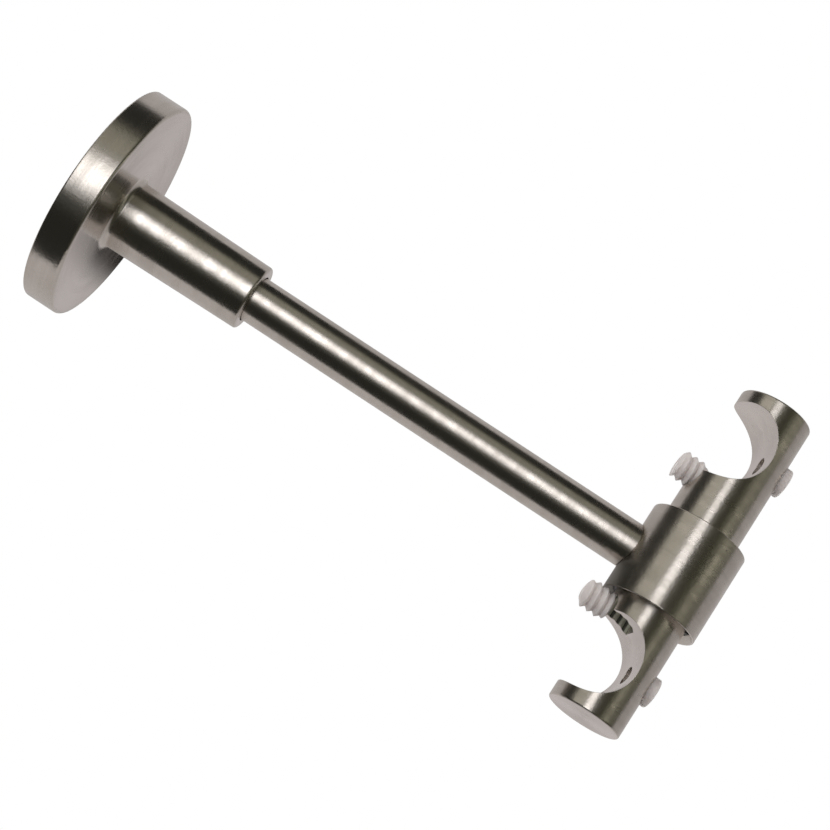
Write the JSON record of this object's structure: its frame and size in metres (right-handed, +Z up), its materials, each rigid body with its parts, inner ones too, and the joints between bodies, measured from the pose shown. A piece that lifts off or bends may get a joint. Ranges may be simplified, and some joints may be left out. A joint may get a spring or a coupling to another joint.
{
  "type": "double ceiling bracket for curtain rods",
  "caption": "Ceiling bracket with a round rosette, a straight hanging arm and a sliding cross bar with open saddles for parallel curtain rods, each locked by a nylon screw.",
  "frame": {"origin": "centre of the ceiling face of the rosette and fixing plate", "axes": "+Z up towards the ceiling, X along the cross bar, Y along the curtain rods"},
  "size_m": [0.0913, 0.0602, 0.1841],
  "materials": {
    "satin_nickel": "satin brushed nickel plate, lines around each turned part",
    "nylon": "natural translucent nylon",
    "black_acetal": "matt black",
    "zinc_steel": "bright zinc plate",
    "dark_steel": "blackened steel"
  },
  "bodies": {
    "ceiling_plate": {"ceiling_plate": "zinc_steel"},
    "rosette": {"rosette": "satin_nickel"},
    "rosette_lock_screw": {"rosette_lock_screw": "dark_steel"},
    "arm_lock_screw": {"arm_lock_screw": "dark_steel"},
    "arm": {"arm": "satin_nickel", "cross_barrel": "satin_nickel", "barrel_screw": "zinc_steel"},
    "bar_liner": {"bar_liner": "black_acetal"},
    "bar_lock_screw": {"bar_lock_screw": "dark_steel"},
    "saddle_bar": {"saddle_bar": "satin_nickel"},
    "clamp_screw_left": {"clamp_screw_left": "nylon"},
    "clamp_screw_right": {"clamp_screw_right": "nylon"},
    "rod_screw_left": {"rod_screw_left": "nylon"},
    "rod_screw_right": {"rod_screw_right": "nylon"}
  },
  "joints": [
    {"name": "rosette_turn", "type": "hinge", "parent": "ceiling_plate", "child": "rosette", "pos_m": [0, 0, 0], "axis": [0, 0, 1], "continuous": true},
    {"name": "rosette_screw_out", "type": "slide", "parent": "rosette", "child": "rosette_lock_screw", "axis": [0, 1, 0], "range_m": [0, 0.003]},
    {"name": "arm_screw_out", "type": "slide", "parent": "rosette", "child": "arm_lock_screw", "axis": [0, 1, 0], "range_m": [0, 0.002]},
    {"name": "arm_slide", "type": "slide", "parent": "rosette", "child": "arm", "axis": [0, 0, -1], "range_m": [0, 0.015]},
    {"name": "bar_turn", "type": "hinge", "parent": "arm", "child": "bar_liner", "pos_m": [0, 0, -0.1713], "axis": [1, 0, 0], "continuous": true},
    {"name": "bar_screw_out", "type": "slide", "parent": "arm", "child": "bar_lock_screw", "axis": [0, 1, 0], "range_m": [0, 0.0015]},
    {"name": "bar_slide", "type": "slide", "parent": "bar_liner", "child": "saddle_bar", "axis": [1, 0, 0], "range_m": [-0.0078, 0]},
    {"name": "clamp_screw_left_feed", "type": "slide", "parent": "saddle_bar", "child": "clamp_screw_left", "axis": [0, -0.1366, 0.9906], "range_m": [-0.007, 0]},
    {"name": "clamp_screw_right_feed", "type": "slide", "parent": "saddle_bar", "child": "clamp_screw_right", "axis": [0, -0.1366, 0.9906], "range_m": [-0.0044, 0.0026]},
    {"name": "rod_screw_left_out", "type": "slide", "parent": "saddle_bar", "child": "rod_screw_left", "axis": [0, 0.1366, -0.9906], "range_m": [0, 0.005]},
    {"name": "rod_screw_right_out", "type": "slide", "parent": "saddle_bar", "child": "rod_screw_right", "axis": [0, 0.1366, -0.9906], "range_m": [0, 0.005]}
  ]
}
